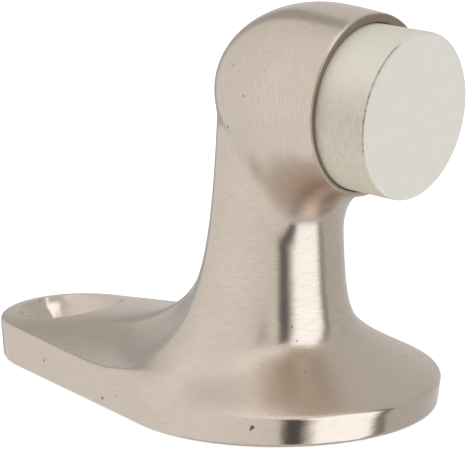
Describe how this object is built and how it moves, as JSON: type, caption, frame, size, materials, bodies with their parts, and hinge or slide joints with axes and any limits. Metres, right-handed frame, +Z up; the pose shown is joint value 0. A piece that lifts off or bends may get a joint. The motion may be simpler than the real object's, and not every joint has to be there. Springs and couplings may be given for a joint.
{
  "type": "floor door stop",
  "caption": "Cast floor door stop: egg-shaped foot, flared post and domed head whose cup holds a plain rubber bumper on a threaded stud.",
  "frame": {"origin": "where the post's axis, which is also the hidden tapped hole's axis, meets the floor", "axes": "+X is the way the bumper faces, towards the door; +Z is up; the XZ plane is the plane of symmetry"},
  "size_m": [0.0753, 0.048, 0.0607],
  "materials": {
    "satin_nickel": "satin nickel plate over a casting, fine brushed grain, lacquered",
    "bumper_rubber": "matt light grey moulded rubber",
    "zinc_steel": "bright zinc-plated steel"
  },
  "bodies": {
    "casting": {"body_casting": "satin_nickel"},
    "bumper": {"bumper_pad": "bumper_rubber", "bumper_stud": "zinc_steel"}
  },
  "joints": [
    {"name": "bumper_pull", "type": "slide", "parent": "casting", "child": "bumper", "axis": [1, 0, 0], "range_m": [0, 0.018]}
  ]
}
